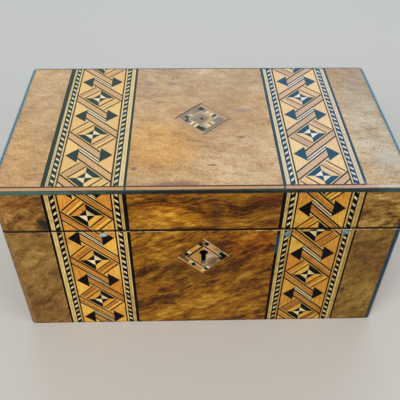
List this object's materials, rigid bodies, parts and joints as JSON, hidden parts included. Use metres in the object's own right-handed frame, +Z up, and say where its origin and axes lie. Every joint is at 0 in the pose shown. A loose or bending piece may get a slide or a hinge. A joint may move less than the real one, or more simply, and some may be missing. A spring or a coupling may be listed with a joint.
{
  "type": "tea caddy",
  "caption": "Walnut-veneered tea caddy with parquetry bands over the lid and front, hinged lid, box lock with keyhole lozenge, foil-lined wells and lift-out inner lids.",
  "frame": {"origin": "middle of the underside, on the surface that the caddy stands on", "axes": "+X along the width to the right as seen from the keyhole front, +Y towards the hinged back, +Z up"},
  "size_m": [0.23, 0.127, 0.12],
  "materials": {
    "walnut": "french polished burr walnut veneer",
    "parquetry": "polished inlay of ebony, boxwood, satinwood and rosewood",
    "ebony": "polished ebonised wood",
    "boxwood": "polished boxwood",
    "rosewood": "polished rosewood",
    "carcass": "planed softwood, stained inside",
    "mahogany": "polished mahogany",
    "bone": "turned and polished bone",
    "tea_foil": "dull hand-smoothed tea foil",
    "lining_paper": "glued dark red lining paper",
    "brass": "aged brass",
    "steel": "filed steel"
  },
  "bodies": {
    "base": {"base_back_board": "carcass", "base_back_veneer": "walnut", "base_corner_strings": "ebony", "base_front_band_left": "parquetry", "base_front_band_right": "parquetry", "base_front_board": "carcass", "base_front_veneer_centre": "walnut", "base_front_veneer_left": "walnut", "base_front_veneer_right": "walnut", "base_left_board": "carcass", "base_left_veneer": "walnut", "base_right_board": "carcass", "base_right_veneer": "walnut", "bottom_board": "carcass", "divider": "mahogany", "foil_liners": "tea_foil", "hinge_pins": "steel", "keyhole_escutcheon": "parquetry", "lid_ledges": "mahogany", "lock_cap": "brass", "lock_case": "brass", "lock_drill_pin": "steel", "lock_screws": "brass", "lock_spring": "steel", "lower_hinge_leaves": "brass", "lower_hinge_screws": "brass"},
    "lid": {"lid_back_rail": "carcass", "lid_back_veneer": "walnut", "lid_corner_strings": "ebony", "lid_edge_strings": "ebony", "lid_front_arris": "boxwood", "lid_front_band_left": "parquetry", "lid_front_band_right": "parquetry", "lid_front_line": "rosewood", "lid_front_rail": "carcass", "lid_front_string": "ebony", "lid_front_veneer_centre": "walnut", "lid_front_veneer_left": "walnut", "lid_front_veneer_right": "walnut", "lid_left_rail": "carcass", "lid_left_veneer": "walnut", "lid_lining": "lining_paper", "lid_lozenge": "parquetry", "lid_right_rail": "carcass", "lid_right_veneer": "walnut", "lid_top_band_left": "parquetry", "lid_top_band_right": "parquetry", "lid_top_board": "carcass", "lid_top_veneer_centre": "walnut", "lid_top_veneer_left": "walnut", "lid_top_veneer_right": "walnut", "upper_hinge_leaves": "brass", "upper_hinge_screws": "brass", "lock_link_plate": "brass", "link_plate_screws": "brass"},
    "bolt": {"lock_bolt": "steel"},
    "left_inner_lid": {"inner_lid_left": "mahogany", "inner_lid_knob_left": "bone"},
    "right_inner_lid": {"inner_lid_right": "mahogany", "inner_lid_knob_right": "bone"}
  },
  "joints": [
    {"name": "lid_hinge", "type": "hinge", "parent": "base", "child": "lid", "pos_m": [0, 0.0605, 0.088], "axis": [-1, 0, 0], "range_deg": [0, 97]},
    {"name": "bolt_slide", "type": "slide", "parent": "base", "child": "bolt", "axis": [1, 0, 0], "range_m": [0, 0.0045]},
    {"name": "left_inner_lid_lift", "type": "slide", "parent": "base", "child": "left_inner_lid", "axis": [0, 0, 1], "range_m": [0, 0.018]},
    {"name": "right_inner_lid_lift", "type": "slide", "parent": "base", "child": "right_inner_lid", "axis": [0, 0, 1], "range_m": [0, 0.018]}
  ]
}
